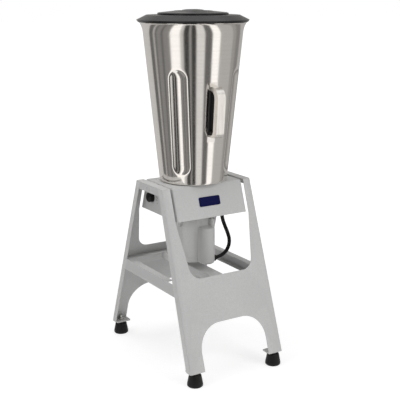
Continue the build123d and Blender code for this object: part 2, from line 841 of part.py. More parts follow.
def handle_face(inset, wall_gap):
    """The handle's side outline, set in from the channel's outer face."""
    bends = (handle_bend - inset, handle_bend_low - inset)
    return handle_outline(handle_top - inset, handle_bottom + inset, handle_reach - inset, wall_gap, bends)


def radial(face, width):
    """A plate of a given width from a side outline, turned to the handle's azimuth."""
    return Rot(0, 0, handle_azimuth) * extrude(Plane.XZ * face, width / 2, both=True)


def tab(z_low, z_high):
    """A welded foot of the handle, flat against the cup's wall."""
    points = [(wall_at(z_low) - handle_tab_sheet, z_low), (wall_at(z_low) + handle_tab_sheet, z_low),
              (wall_at(z_high) + handle_tab_sheet, z_high), (wall_at(z_high) - handle_tab_sheet, z_high)]
    return radial(make_face(Polyline(*points, close=True)), handle_width)


wall_cutter = cup_form(-seat_fit, cup_bottom)
flange_bends = (handle_bend - handle_flange_top, handle_bend_low - handle_flange_low)
between_flanges = handle_outline(handle_top - handle_flange_top, handle_bottom + handle_flange_low,
                                 handle_reach - handle_flange, -2 * handle_tab_sheet, flange_bends)
channel_inside = handle_width - 2 * handle_strap
channel = (radial(handle_face(0, -handle_tab_sheet), handle_width)
           - radial(between_flanges, 2 * handle_width)
           - radial(handle_face(handle_strap, -2 * handle_tab_sheet), channel_inside)
           + tab(handle_top - handle_strap, handle_top + handle_tab_top)
           + tab(handle_bottom - handle_tab_low, handle_bottom + handle_strap) - wall_cutter)
save(channel, "handle")

liner_width = channel_inside - 2 * seat_fit
finger = handle_outline(handle_top - handle_strap - liner_end, handle_bottom + handle_strap + liner_end,
                        handle_reach - handle_flange - liner_proud, liner_pad, (liner_corner, liner_corner))
liner = radial(handle_face(handle_strap + seat_fit, -handle_tab_sheet), liner_width)
liner = liner - radial(finger, 2 * handle_width) - wall_cutter
save(liner, "handle_liner")

# Capacitor cover on the front of the motor
saddle_radius = motor_radius + seat_fit
cover_centre = cover_reach - cover_radius


def cover_form(inset):
    """The cover's outside, set in by a distance: a round can joined to the motor."""
    face = Pos(0, -cover_centre) * Circle(cover_radius - inset)
    face += Pos(0, -cover_centre / 2) * Rectangle(2 * (cover_radius - inset), cover_centre)
    can = Pos(0, 0, cover_bottom + inset) * extrude(face, cover_height - 2 * inset)
    ends = can.edges().filter_by(lambda e: (e @ 0.5).Y < -cover_centre and abs((e @ 1 - e @ 0).Z) < 1)
    return fillet(ends, cover_round - inset)


def capacitor_cover():
    """The pressed cover with its two side flanges."""
    arms = tube(saddle_radius + saddle_sheet, saddle_radius, cover_bottom + 2, frame_top - lug_height - 2)
    wedge_x = 2 * motor_radius * math.tan(math.radians(saddle_angle / 2))
    wedge = make_face(Polyline((0, 0), (wedge_x, -2 * motor_radius), (-wedge_x, -2 * motor_radius), close=True))
    arms &= Pos(0, 0, cover_bottom) * extrude(wedge, 2 * cover_height)
    shell = cover_form(0) + arms - cover_form(cover_sheet)
    low = Pos(0, 0, motor_bottom) * Cylinder(bell_rim + seat_fit, 2 * (frame_bottom - motor_bottom) + 1)
    return shell - Pos(0, 0, cover_bottom + cover_height / 2) * Cylinder(saddle_radius, 2 * cover_height) - low


save(capacitor_cover(), "capacitor_cover")
capacitor_y = cover_reach - cover_sheet - weld_gap - capacitor_radius
capacitor_low = cover_bottom + (cover_height - capacitor_height) / 2
can = Pos(0, -capacitor_y, capacitor_low + capacitor_height / 2) * Cylinder(capacitor_radius, capacitor_height)
save(can, "capacitor")

# Motor lead: glands at both ends and one loop of cable between them
lead_bends = [(75, 114), (76.5, 131), (87, 159), (99, 185), (107.5, 211), (105, 235), (91.5, 254.5),
              (71, 265), (motor_gland_end, 267)]
lead_route = [(x, lead_plane, stand_top - drop) for x, drop in lead_bends]


def lead_tube(points, radius):
    """A tube of straight runs joined by tangent arcs through a route."""
    points = [Vector(*p) for p in points]
    edges = []
    start = points[0]
    for before, corner, after in zip(points, points[1:], points[2:]):
        run_in = corner - before
        run_out = after - corner
        trim = lead_trim * min(run_in.length, run_out.length)
        first = corner - run_in.normalized() * trim
        last = corner + run_out.normalized() * trim
        edges.append(Line(start, first))
        edges.append(TangentArc(first, last, tangent=run_in.normalized()))
        start = last
    edges.append(Line(start, points[-1]))
    section = Plane(origin=points[0], z_dir=points[1] - points[0]) * Circle(radius)
    return sweep(section, path=Wire(edges))


save(lead_tube(lead_route, lead_radius), "motor_lead")

lead_start = Vector(*lead_route[0])
gland_top = head_bottom + head_sheet + 2 * gland_wall
box_gland = turned([(0, lead_start.Z + lead_gap), (gland_radius - gland_wall, lead_start.Z + lead_gap),
                    (gland_radius, lead_start.Z + gland_wall + lead_gap), (gland_radius, head_bottom - seat_fit),
                    (lead_radius + gland_wall, head_bottom - seat_fit), (lead_radius + gland_wall, gland_top),
                    (0, gland_top)])
save(Pos(lead_exit_x, lead_plane, 0) * box_gland, "box_gland")
motor_gland = rod(motor_gland_root, motor_gland_end - lead_gap, lead_plane, motor_gland_height,
                  gland_radius - gland_wall)
motor_gland += rod(motor_gland_root, motor_gland_end - 1.5 * gland_wall, lead_plane, motor_gland_height,
                   gland_radius)
motor_gland -= Pos(0, 0, motor_gland_height) * Cylinder(bell_rim + seat_fit, 4 * gland_radius)
motor_gland -= cover_form(-saddle_sheet)
motor_gland = motor_gland.solids().sort_by(Axis.X)[-1]
save(motor_gland, "motor_gland")

# Switch, spindle and knob on the left side of the head
switch_face = -head_inner
switch_box = block(switch_face, switch_face + switch_depth, knob_y - switch_size / 2,
                   knob_y + switch_size / 2, knob_z - switch_size / 2, knob_z + switch_size / 2)
switch_box = Pos(seat_fit, 0, 0) * fillet(switch_box.edges().filter_by(Axis.X), bend)
switch_box -= rod(switch_face - 1, switch_face + switch_depth / 2, knob_y, knob_z, spindle_radius + run_fit)
doubler_keep = block(switch_face - 1, switch_face + doubler + pin_head + 2, -doubler_size / 2 - weld_gap,
                     doubler_size / 2 + weld_gap, doubler_low - weld_gap, stand_top)
save(switch_box - doubler_keep, "switch_body")
knob_base = -head_half_width - knob_gap
knob_face = knob_base - knob_height
save(rod(knob_face + knob_skirt, switch_face + switch_depth / 2 - 2, knob_y, knob_z, spindle_radius),
     "switch_spindle")


def knob():
    """A fluted knob with a raised pointer on its face."""
    side = Plane(origin=(knob_base, knob_y, knob_z), x_dir=(0, -1, 0), z_dir=(-1, 0, 0))
    edge = 1.5
    grip = knob_radius - 1
    body = turned([(0, 0), (knob_radius, 0), (knob_radius, knob_skirt), (grip, knob_skirt),
                   (grip, knob_height - edge), (grip - edge, knob_height), (0, knob_height)])
    groove = Pos(0, grip + 1, knob_skirt) * Cylinder(knob_flute_radius, knob_height,
                                                     align=(Align.CENTER, Align.CENTER, Align.MIN))
    for cut in around(groove, knob_flutes)[1:]:
        body -= cut
    bar = RectangleRounded(knob_pointer, knob_radius - 2, 1)
    body += Pos(0, knob_radius / 2 - 1, knob_height) * extrude(bar, 1)
    body -= Cylinder(spindle_radius + seat_fit, 2 * (knob_height - knob_skirt))
    return side * body


save(knob(), "switch_knob")

# Bare name plate on the head's front
tilt = math.radians(plate_lean)
face_plane = Plane(origin=(name_plate_x, -depth_at(name_plate_z), name_plate_z), x_dir=(1, 0, 0),
                   z_dir=(0, -math.cos(tilt), math.sin(tilt)))
plate = extrude(RectangleRounded(name_plate_width, name_plate_height, name_plate_corner), name_plate_sheet)
save(face_plane.offset(seat_fit) * plate, "name_plate")

# Lid: a moulded dome that grips the rim, with a hole for the filler cap
plug_top_radius = cup_shoulder_radius - cup_sheet - lid_fit
plug_z = cup_shoulder - lid_plug_depth + lid_plug_wall
lid_under = cup_rim + rim_bead + stop_gap
lid_hole = cap_plug_radius + cap_fit


def lid():
    """The lid from its cross-section."""
    lip_inner = cup_rim_radius - cup_sheet / 2 + rim_bead + lid_fit
    seat_radius = cap_radius + cap_fit
    plug_inner = plug_top_radius - 2 - lid_plug_wall
    return turned([(lid_hole, lid_well), (seat_radius, lid_well), (seat_radius, cap_edge - cap_fit),
                   (lid_step_radius - lid_wall, lid_step + lid_disc_crown), (lid_step_radius - 1, lid_step),
                   (lid_step_radius, lid_step - 1), (lid_step_radius, lid_shoulder + 1),
                   (lid_shoulder_radius, lid_shoulder), (lid_radius - 1, lid_lip_top + lid_lip_crown),
                   (lid_radius, lid_lip_top), (lip_inner + lid_lip_wall, lid_lip_bottom),
                   (lip_inner, lid_lip_bottom), (lip_inner, lid_under),
                   (plug_top_radius, lid_under), (plug_top_radius - 2, plug_z), (plug_inner, plug_z),
                   (plug_inner, lid_shoulder - 2 * lid_wall), (lid_step_radius, lid_shoulder - lid_wall),
                   (lid_step_radius - lid_wall, lid_step - lid_wall),
                   (seat_radius + lid_wall, cap_edge - cap_fit - lid_wall),
                   (seat_radius + lid_wall, lid_well - lid_wall), (lid_hole, lid_well - lid_wall)])


save(lid(), "lid")


def filler_cap():
    """The cap in the lid, with two finger wells and a broad bar between them."""
    body = turned([(0, lid_well - cap_plug_depth), (cap_plug_radius - cap_plug_chamfer, lid_well - cap_plug_depth),
                   (cap_plug_radius, lid_well - cap_plug_depth + cap_plug_chamfer),
                   (cap_plug_radius, lid_well + stop_gap),
                   (cap_radius, lid_well + stop_gap), (cap_radius, cap_edge - 1), (cap_radius - 1, cap_edge),
                   (cap_flat_radius, cap_crown), (0, cap_crown)])
    wells = Pos(0, 0, cap_crown) * Cylinder(cap_dish_radius, 2 * cap_dish_depth)
    wells -= Pos(0, 0, cap_crown) * Box(4 * cap_radius, cap_bar_width, 4 * cap_dish_depth)
    return body - Rot(0, 0, cap_bar_azimuth) * wells


save(filler_cap(), "filler_cap")
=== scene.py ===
"""Looks of a tilting blender: a polished cup on a painted head, hung in a stand of folded sheet."""
import logging
import math
from collections.abc import Callable, Iterable, Sequence
from dataclasses import dataclass
from enum import Enum
from typing import Any

import bmesh
import bpy
from mathutils import Matrix, Vector


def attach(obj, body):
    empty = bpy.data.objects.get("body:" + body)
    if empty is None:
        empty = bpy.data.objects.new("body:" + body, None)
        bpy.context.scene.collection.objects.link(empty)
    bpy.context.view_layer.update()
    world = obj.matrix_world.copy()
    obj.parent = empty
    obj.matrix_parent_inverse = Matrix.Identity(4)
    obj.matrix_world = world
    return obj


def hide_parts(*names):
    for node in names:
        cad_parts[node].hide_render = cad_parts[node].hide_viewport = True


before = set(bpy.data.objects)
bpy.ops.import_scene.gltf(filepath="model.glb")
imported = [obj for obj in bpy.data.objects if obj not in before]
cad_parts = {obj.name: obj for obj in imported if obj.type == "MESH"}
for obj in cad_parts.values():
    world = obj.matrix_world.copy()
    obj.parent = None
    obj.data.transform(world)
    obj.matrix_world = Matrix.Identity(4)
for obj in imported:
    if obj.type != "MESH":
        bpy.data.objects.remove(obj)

log = logging.getLogger("tilting_blender")

Point = tuple[float, float, float]
Colour = tuple[float, float, float]
Socket = bpy.types.NodeSocket

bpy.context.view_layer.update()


class Body(Enum):
    """The moving bodies that pieces ride on."""

    STAND = "stand"
    HEAD = "head"
    ROTOR = "rotor"
    KNOB = "knob"
    LID = "lid"
    CAP = "filler_cap"


class Slot(Enum):
    """The record's material slots."""

    PAINT = "grey_paint"
    RUBBER = "black_rubber"
    ZINC = "zinc_steel"
    STAINLESS = "stainless"
    STEEL = "plain_steel"
    PLASTIC = "black_plastic"
    BRONZE = "bronze"
    ALUMINIUM = "aluminium_can"
    BLUE = "blue_plate"


class Shade(Enum):
    """How bright a part of the studio's ring looks in a polished surface."""

    BLACK = 0.05
    CHARCOAL = 0.14
    SLATE = 0.24
    DIM = 0.33
    GREY = 0.45
    SILVER = 0.56
    PALE = 0.72
    WHITE = 1.12


class Graph:
    """Short hand for making and joining the nodes of one tree."""

    def __init__(self, tree: bpy.types.NodeTree) -> None:
        """Takes the tree that the nodes go into.

        Args:
            tree: a material's, world's or group's node tree.
        """
        self.tree = tree

    def node(self, kind: str, **inputs: Any) -> bpy.types.Node:
        """Adds a node and sets its plain inputs.

        Args:
            kind: the node's type name, without its ShaderNode prefix.
            inputs: values by input name, with _ for a space.

        Returns:
            The new node.
        """
        made = self.tree.nodes.new("ShaderNode" + kind)
        for name, value in inputs.items():
            made.inputs[name.replace("_", " ")].default_value = value
        return made

    def join(self, source: Socket, target: Socket) -> None:
        """Links an output to an input."""
        self.tree.links.new(source, target)

    def maths(self, operation: str, first: Socket | float, second: Socket | float = 0.0) -> Socket:
        """One arithmetic step.

        Args:
            operation: the Math node's operation.
            first: a socket or a number.
            second: a socket or a number.

        Returns:
            The result's socket.
        """
        made = self.tree.nodes.new("ShaderNodeMath")
        made.operation = operation
        for socket, value in zip(made.inputs, (first, second)):
            if isinstance(value, (int, float)):
                socket.default_value = value
            else:
                self.join(value, socket)
        return made.outputs[0]

    def spread(self, value: Socket, low: float, high: float, out_low: float, out_high: float) -> Socket:
        """Maps a value from one range to another, and clamps it.

        Args:
            value: the value to map.
            low: where the input range starts.
            high: where the input range ends.
            out_low: the result at low.
            out_high: the result at high.

        Returns:
            The mapped value's socket.
        """
        made = self.tree.nodes.new("ShaderNodeMapRange")
        for socket, number in zip(list(made.inputs)[1:5], (low, high, out_low, out_high)):
            socket.default_value = number
        self.join(value, made.inputs[0])
        return made.outputs[0]

    def blend(self, factor: Socket, first: Colour | Socket, second: Colour | Socket) -> Socket:
        """Mixes two colours.

        Args:
            factor: 0 for the first colour, 1 for the second.
            first: a colour or a socket.
            second: a colour or a socket.

        Returns:
            The mixed colour's socket.
        """
        made = self.tree.nodes.new("ShaderNodeMix")
        made.data_type = "RGBA"
        self.join(factor, made.inputs[0])
        for socket, value in zip((made.inputs[6], made.inputs[7]), (first, second)):
            if isinstance(value, tuple):
                socket.default_value = (*value, 1.0)
            else:
                self.join(value, socket)
        return made.outputs[2]


def new_group(name: str, inputs: dict[str, float], outputs: Sequence[str]) -> tuple[Graph, Any, Any]:
    """Starts a node group with float sockets.

    Args:
        name: the group's name.
        inputs: each input's name and default value.
        outputs: the outputs' names.

    Returns:
        The group's graph, and its input and output nodes.
    """
    tree = bpy.data.node_groups.new(name, "ShaderNodeTree")
    for socket_name, value in inputs.items():
        socket = tree.interface.new_socket(socket_name, in_out="INPUT", socket_type="NodeSocketFloat")
        socket.default_value = value
    for socket_name in outputs:
        tree.interface.new_socket(socket_name, in_out="OUTPUT", socket_type="NodeSocketFloat")
    return Graph(tree), tree.nodes.new("NodeGroupInput"), tree.nodes.new("NodeGroupOutput")


def grain_group() -> bpy.types.NodeTree:
    """Fine even grain, as on powder paint, rubber and moulded plastic.

    Returns:
        A group with Size in metres, and the outputs Height and Cloud.
    """
    graph, inside, outside = new_group("fine_grain", {"Size": 0.001, "Cloud Size": 0.12}, ("Height", "Cloud"))
    place = graph.node("TexCoord").outputs["Object"]
    fine = graph.node("TexNoise", Detail=3.0, Roughness=0.55)
    graph.join(place, fine.inputs["Vector"])
    graph.join(graph.maths("DIVIDE", 1.0, inside.outputs["Size"]), fine.inputs["Scale"])
    cloud = graph.node("TexNoise", Detail=2.0)
    graph.join(place, cloud.inputs["Vector"])
    graph.join(graph.maths("DIVIDE", 1.0, inside.outputs["Cloud Size"]), cloud.inputs["Scale"])
    graph.join(fine.outputs["Fac"], outside.inputs["Height"])
    graph.join(graph.spread(cloud.outputs["Fac"], 0.35, 0.65, 0.0, 1.0), outside.inputs["Cloud"])
    return graph.tree


def brush_group() -> bpy.types.NodeTree:
    """Fine lines drawn out across the object's axes, as polishing and grinding leave them.

    Returns:
        A group whose inputs stretch the lines by axis, with the outputs Height and Streak.
    """
    stretch = {"Along X": 60.0, "Along Y": 60.0, "Along Z": 1800.0}
    graph, inside, outside = new_group("brushed_lines", stretch, ("Height", "Streak"))
    place = graph.node("TexCoord").outputs["Object"]
    axes = graph.node("CombineXYZ")
    for socket, name in zip(axes.inputs, stretch):
        graph.join(inside.outputs[name], socket)
    drawn = graph.tree.nodes.new("ShaderNodeVectorMath")
    drawn.operation = "MULTIPLY"
    graph.join(place, drawn.inputs[0])
    graph.join(axes.outputs[0], drawn.inputs[1])
    lines = graph.node("TexNoise", Scale=1.0, Detail=4.0, Roughness=0.6)
    graph.join(drawn.outputs[0], lines.inputs["Vector"])
    broad = graph.node("TexNoise", Scale=0.12, Detail=2.0)
    graph.join(drawn.outputs[0], broad.inputs["Vector"])
    graph.join(lines.outputs["Fac"], outside.inputs["Height"])
    graph.join(graph.spread(broad.outputs["Fac"], 0.3, 0.7, 0.0, 1.0), outside.inputs["Streak"])
    return graph.tree


def wear_group() -> bpy.types.NodeTree:
    """Rubbed edges, broken up by grain.

    Returns:
        A group with the outputs Edge and Crevice.
    """
    graph, inside, outside = new_group("edge_wear", {"Sharpness": 0.06, "Break Up": 220.0}, ("Edge", "Crevice"))
    bend = graph.node("NewGeometry").outputs["Pointiness"]
    chips = graph.node("TexNoise", Detail=3.0)
    graph.join(graph.node("TexCoord").outputs["Object"], chips.inputs["Vector"])
    graph.join(inside.outputs["Break Up"], chips.inputs["Scale"])
    over = graph.maths("DIVIDE", graph.maths("SUBTRACT", bend, 0.5), inside.outputs["Sharpness"])
    broken = graph.maths("MULTIPLY", over, graph.spread(chips.outputs["Fac"], 0.3, 0.7, 0.3, 1.0))
    graph.join(graph.spread(broken, 0.25, 1.0, 0.0, 1.0), outside.inputs["Edge"])
    graph.join(graph.spread(over, -0.25, -1.0, 0.0, 1.0), outside.inputs["Crevice"])
    return graph.tree


def dust_group() -> bpy.types.NodeTree:
    """A thin film of dust on what faces up.

    Returns:
        A group with the output Dust.
    """
    graph, inside, outside = new_group("settled_dust", {"Patch": 60.0}, ("Dust",))
    facing = graph.node("SeparateXYZ")
    graph.join(graph.node("NewGeometry").outputs["Normal"], facing.inputs[0])
    patch = graph.node("TexNoise", Detail=4.0, Roughness=0.6)
    graph.join(graph.node("TexCoord").outputs["Object"], patch.inputs["Vector"])
    graph.join(inside.outputs["Patch"], patch.inputs["Scale"])
    up = graph.spread(facing.outputs["Z"], 0.5, 1.0, 0.0, 1.0)
    graph.join(graph.maths("MULTIPLY", up, graph.spread(patch.outputs["Fac"], 0.35, 0.7, 0.2, 1.0)),
               outside.inputs["Dust"])
    return graph.tree


class Effects:
    """The shared surface effects, each a node group made once."""

    def __init__(self) -> None:
        """Makes the groups."""
        self.grain = grain_group()
        self.brush = brush_group()
        self.wear = wear_group()
        self.dust = dust_group()

    @staticmethod
    def place(graph: Graph, tree: bpy.types.NodeTree, **inputs: float) -> bpy.types.Node:
        """Puts an effect into a material.

        Args:
            graph: the material's graph.
            tree: the effect's node group.
            inputs: values by input name, with _ for a space.

        Returns:
            The group node.
        """
        made = graph.tree.nodes.new("ShaderNodeGroup")
        made.node_tree = tree
        for name, value in inputs.items():
            made.inputs[name.replace("_", " ")].default_value = value
        return made


def start_material(name: str) -> tuple[bpy.types.Material, Graph, bpy.types.Node]:
    """Starts a node material.

    Args:
        name: the material's name.

    Returns:
        The material, its graph and its shader node.
    """
    made = bpy.data.materials.new(name)
    made.use_nodes = True
    return made, Graph(made.node_tree), made.node_tree.nodes["Principled BSDF"]


def bump(graph: Graph, shader: bpy.types.Node, height: Socket, depth: float, strength: float = 1.0) -> None:
    """Feeds a height into the shader's normal.

    Args:
        graph: the material's graph.
        shader: the material's shader.
        height: a height from 0 to 1.
        depth: the height's depth in metres.
        strength: how much of the bump shows.
    """
    made = graph.node("Bump", Strength=strength, Distance=depth)
    graph.join(height, made.inputs["Height"])
    graph.join(made.outputs["Normal"], shader.inputs["Normal"])


@dataclass(frozen=True)
class PowderPaint:
    """Fine-textured grey paint on sheet or castings."""

    name: str
    colour: Colour
    fleck: Colour
    worn: Colour
    roughness: float = 0.42
    texture: float = 0.0009
    depth: float = 0.00012

    def make(self, effects: Effects) -> bpy.types.Material:
        """Makes the paint.

        Args:
            effects: the shared effects.

        Returns:
            The material.
        """
        made, graph, shader = start_material(self.name)
        grain = effects.place(graph, effects.grain, Size=self.texture, Cloud_Size=0.16)
        wear = effects.place(graph, effects.wear, Sharpness=0.08)
        dust = effects.place(graph, effects.dust)
        fine = graph.spread(grain.outputs["Height"], 0.35, 0.65, 0.0, 1.0)
        body = graph.blend(fine, self.colour, self.fleck)
        soft = graph.maths("MULTIPLY", grain.outputs["Cloud"], 0.12)
        body = graph.blend(soft, body, self.worn)
        body = graph.blend(graph.maths("MULTIPLY", wear.outputs["Edge"], 0.55), body, self.worn)
        body = graph.blend(graph.maths("MULTIPLY", dust.outputs["Dust"], 0.08), body, (0.62, 0.6, 0.56))
        graph.join(body, shader.inputs["Base Color"])
        graph.join(graph.spread(grain.outputs["Cloud"], 0.0, 1.0, self.roughness - 0.04, self.roughness + 0.05),
                   shader.inputs["Roughness"])
        shader.inputs["Specular IOR Level"].default_value = 0.55
        bump(graph, shader, grain.outputs["Height"], self.depth, 0.6)
        return made


@dataclass(frozen=True)
class BareMetal:
    """Uncoated or plated metal with drawn lines in its surface."""

    name: str
    colour: Colour
    tint: Colour
    roughness: float
    lines: Point = (60.0, 60.0, 1800.0)
    depth: float = 0.00001
    patchy: float = 0.06

    def make(self, effects: Effects) -> bpy.types.Material:
        """Makes the metal.

        Args:
            effects: the shared effects.

        Returns:
            The material.
        """
        made, graph, shader = start_material(self.name)
        brush = effects.place(graph, effects.brush, Along_X=self.lines[0], Along_Y=self.lines[1],
                              Along_Z=self.lines[2])
        grain = effects.place(graph, effects.grain, Size=0.004, Cloud_Size=0.09)
        tone = graph.blend(graph.maths("MULTIPLY", brush.outputs["Streak"], 0.5), self.colour, self.tint)
        tone = graph.blend(graph.maths("MULTIPLY", grain.outputs["Cloud"], 0.25), tone, self.tint)
        graph.join(tone, shader.inputs["Base Color"])
        shader.inputs["Metallic"].default_value = 1.0
        uneven = graph.maths("ADD", graph.maths("MULTIPLY", brush.outputs["Streak"], self.patchy * 0.5),
                             graph.maths("MULTIPLY", grain.outputs["Cloud"], self.patchy * 0.5))
        graph.join(graph.maths("ADD", uneven, self.roughness), shader.inputs["Roughness"])
        bump(graph, shader, brush.outputs["Height"], self.depth, 0.5)
        return made


@dataclass(frozen=True)
class Moulding:
    """Black or coloured plastic and rubber."""

    name: str
    colour: Colour
    scuff: Colour
    roughness: float
    texture: float = 0.0006
    depth: float = 0.00006
    dusty: float = 0.1
    gloss: float = 0.5

    def make(self, effects: Effects) -> bpy.types.Material:
        """Makes the plastic or rubber.

        Args:
            effects: the shared effects.

        Returns:
            The material.
        """
        made, graph, shader = start_material(self.name)
        grain = effects.place(graph, effects.grain, Size=self.texture, Cloud_Size=0.05)
        wear = effects.place(graph, effects.wear, Sharpness=0.1)
        dust = effects.place(graph, effects.dust, Patch=90.0)
        body = graph.blend(graph.maths("MULTIPLY", grain.outputs["Cloud"], 0.3), self.colour, self.scuff)
        body = graph.blend(graph.maths("MULTIPLY", wear.outputs["Edge"], 0.4), body, self.scuff)
        body = graph.blend(graph.maths("MULTIPLY", dust.outputs["Dust"], self.dusty), body, (0.3, 0.29, 0.27))
        graph.join(body, shader.inputs["Base Color"])
        graph.join(graph.spread(grain.outputs["Cloud"], 0.0, 1.0, self.roughness - 0.03, self.roughness + 0.05),
                   shader.inputs["Roughness"])
        shader.inputs["Specular IOR Level"].default_value = self.gloss
        bump(graph, shader, grain.outputs["Height"], self.depth, 0.5)
        return made


class FinishRack:
    """Every finish of the machine, made once."""

    def __init__(self) -> None:
        """Makes the finishes."""
        effects = Effects()
        made = [
            PowderPaint("light_grey_paint", (0.5, 0.5, 0.497), (0.56, 0.56, 0.557), (0.66, 0.66, 0.65)),
            PowderPaint("motor_grey_paint", (0.5, 0.5, 0.49), (0.56, 0.56, 0.55), (0.66, 0.66, 0.65),
                        roughness=0.34, texture=0.0012),
            BareMetal("polished_stainless", (0.9, 0.87, 0.835), (0.82, 0.79, 0.755), 0.09,
                      lines=(14.0, 14.0, 1500.0), depth=0.000012, patchy=0.07),
            BareMetal("satin_stainless", (0.82, 0.795, 0.76), (0.7, 0.675, 0.645), 0.2,
                      lines=(900.0, 900.0, 40.0), depth=0.00001),
            BareMetal("zinc_plate", (0.6, 0.6, 0.58), (0.45, 0.44, 0.4), 0.3, lines=(500.0, 500.0, 500.0)),
            BareMetal("machined_steel", (0.42, 0.42, 0.42), (0.3, 0.29, 0.28), 0.36, lines=(90.0, 90.0, 900.0)),
            BareMetal("bronze", (0.5, 0.3, 0.13), (0.36, 0.2, 0.08), 0.32, lines=(900.0, 90.0, 90.0)),
            BareMetal("drawn_aluminium", (0.68, 0.68, 0.69), (0.55, 0.55, 0.56), 0.28, lines=(600.0, 600.0, 30.0)),
            BareMetal("navy_anodised", (0.012, 0.014, 0.075), (0.02, 0.022, 0.1), 0.42,
                      lines=(30.0, 900.0, 900.0), depth=0.000006),
            Moulding("lid_moulding", (0.012, 0.012, 0.0125), (0.02, 0.02, 0.02), 0.27, gloss=0.3, dusty=0.02),
            Moulding("black_rubber", (0.007, 0.007, 0.007), (0.02, 0.02, 0.02), 0.45, texture=0.0012,
                     depth=0.0001, dusty=0.04, gloss=0.2),
            Moulding("black_plastic", (0.006, 0.006, 0.006), (0.018, 0.018, 0.018), 0.38, dusty=0.03, gloss=0.2),
            Moulding("cable_jacket", (0.006, 0.006, 0.0062), (0.015, 0.015, 0.015), 0.36, texture=0.0008,
                     dusty=0.03, gloss=0.2),
            Moulding("printed_ink", (0.05, 0.05, 0.05), (0.09, 0.09, 0.09), 0.5, depth=0.00001),
        ]
        self.by_name = {finish.name: finish.make(effects) for finish in made}

    def __getitem__(self, name: str) -> bpy.types.Material:
        """The finish with that name."""
        return self.by_name[name]


@dataclass(frozen=True)
class Piece:
    """How a mesh is put on the machine."""

    name: str
    body: Body
    finish: str
    slot: Slot
    replaces: tuple[str, ...] = ()


def shade_smooth(mesh: bpy.types.Mesh, angle: float = 35.0) -> None:
    """Smooths a mesh but keeps edges sharper than an angle.

    Args:
        mesh: the mesh to shade.
        angle: the sharpest edge that is still smoothed, in degrees.
    """
    mesh.polygons.foreach_set("use_smooth", [True] * len(mesh.polygons))
    mesh.set_sharp_from_angle(angle=math.radians(angle))


def add_mesh(points: Sequence[Point], faces: Sequence[Sequence[int]], piece: Piece, finishes: FinishRack,
             angle: float = 35.0) -> bpy.types.Object:
    """Makes a mesh piece and puts it on the machine.

    Args:
        points: the vertices, in metres.
        faces: the faces' vertex numbers.
        piece: where the mesh goes.
        finishes: the finishes.
        angle: the sharpest edge that is still smoothed, in degrees.

    Returns:
        The new object.
    """
    mesh = bpy.data.meshes.new(piece.name)
    mesh.from_pydata(points, [], faces)
    tidy = bmesh.new()
    tidy.from_mesh(mesh)
    bmesh.ops.remove_doubles(tidy, verts=tidy.verts, dist=1e-6)
    bmesh.ops.recalc_face_normals(tidy, faces=tidy.faces)
    tidy.to_mesh(mesh)
    tidy.free()
    shade_smooth(mesh, angle)
    made = bpy.data.objects.new(piece.name, mesh)
    bpy.context.scene.collection.objects.link(made)
    return put_on(made, piece, finishes)


def put_on(made: bpy.types.Object, piece: Piece, finishes: FinishRack) -> bpy.types.Object:
    """Gives a piece its finish and its body.

    Args:
        made: the object.
        piece: where it goes.
        finishes: the finishes.

    Returns:
        The same object.
    """
    made.data.materials.clear()
    made.data.materials.append(finishes[piece.finish])
    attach(made, piece.body.value)
    if piece.replaces:
        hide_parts(*piece.replaces)
    log.info("piece %s rides on %s", piece.name, piece.body.value)
    return made


def dress_nodes(names: Iterable[str], finish: bpy.types.Material) -> None:
    """Gives carried-over CAD nodes their finish.

    Args:
        names: the nodes' names.
        finish: the material.
    """
    for name in names:
        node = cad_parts[name]
        if not node.material_slots:
            node.data.materials.append(finish)
        for holder in node.material_slots:
            holder.material = finish
        log.info("node %s takes %s", name, finish.name)


def ring_surface(profile: Sequence[tuple[float, float]], count: int,
                 press: Callable[[float, float, float], float] | None = None
                 ) -> tuple[list[Point], list[tuple[int, ...]]]:
    """Turns a closed profile round the vertical axis.

    Args:
        profile: (radius, height) points in metres.
        count: the number of steps round.
        press: takes radius, height and azimuth, and gives how far the point moves inwards.

    Returns:
        The points and faces.
    """
    points: list[Point] = []
    for step in range(count):
        azimuth = 2 * math.pi * step / count
        cosine, sine = math.cos(azimuth), math.sin(azimuth)
        for radius, height in profile:
            reach = radius - (press(radius, height, azimuth) if press else 0.0)
            points.append((reach * cosine, reach * sine, height))
    size = len(profile)
    faces = []
    for step in range(count):
        here, there = step * size, (step + 1) % count * size
        for k in range(size):
            after = (k + 1) % size
            faces.append((here + k, there + k, there + after, here + after))
    return points, faces


def arc(centre: tuple[float, float], radius: float, start: float, end: float, steps: int
        ) -> list[tuple[float, float]]:
    """Points along an arc in a profile's plane.

    Args:
        centre: the arc's centre.
        radius: the arc's radius.
        start: the first angle in degrees.
        end: the last angle in degrees.
        steps: the number of steps.

    Returns:
        The points, ends included.
    """
    angles = [math.radians(start + (end - start) * k / steps) for k in range(steps + 1)]
    return [(centre[0] + radius * math.cos(a), centre[1] + radius * math.sin(a)) for a in angles]


def line(start: tuple[float, float], end: tuple[float, float], step: float) -> list[tuple[float, float]]:
    """Evenly spaced points between two ends, without the last.

    Args:
        start: the first point.
        end: the point that the line stops short of.
        step: the greatest spacing.

    Returns:
        The points.
    """
    count = max(1, math.ceil(math.dist(start, end) / step))
    return [(start[0] + (end[0] - start[0]) * k / count, start[1] + (end[1] - start[1]) * k / count)
            for k in range(count)]


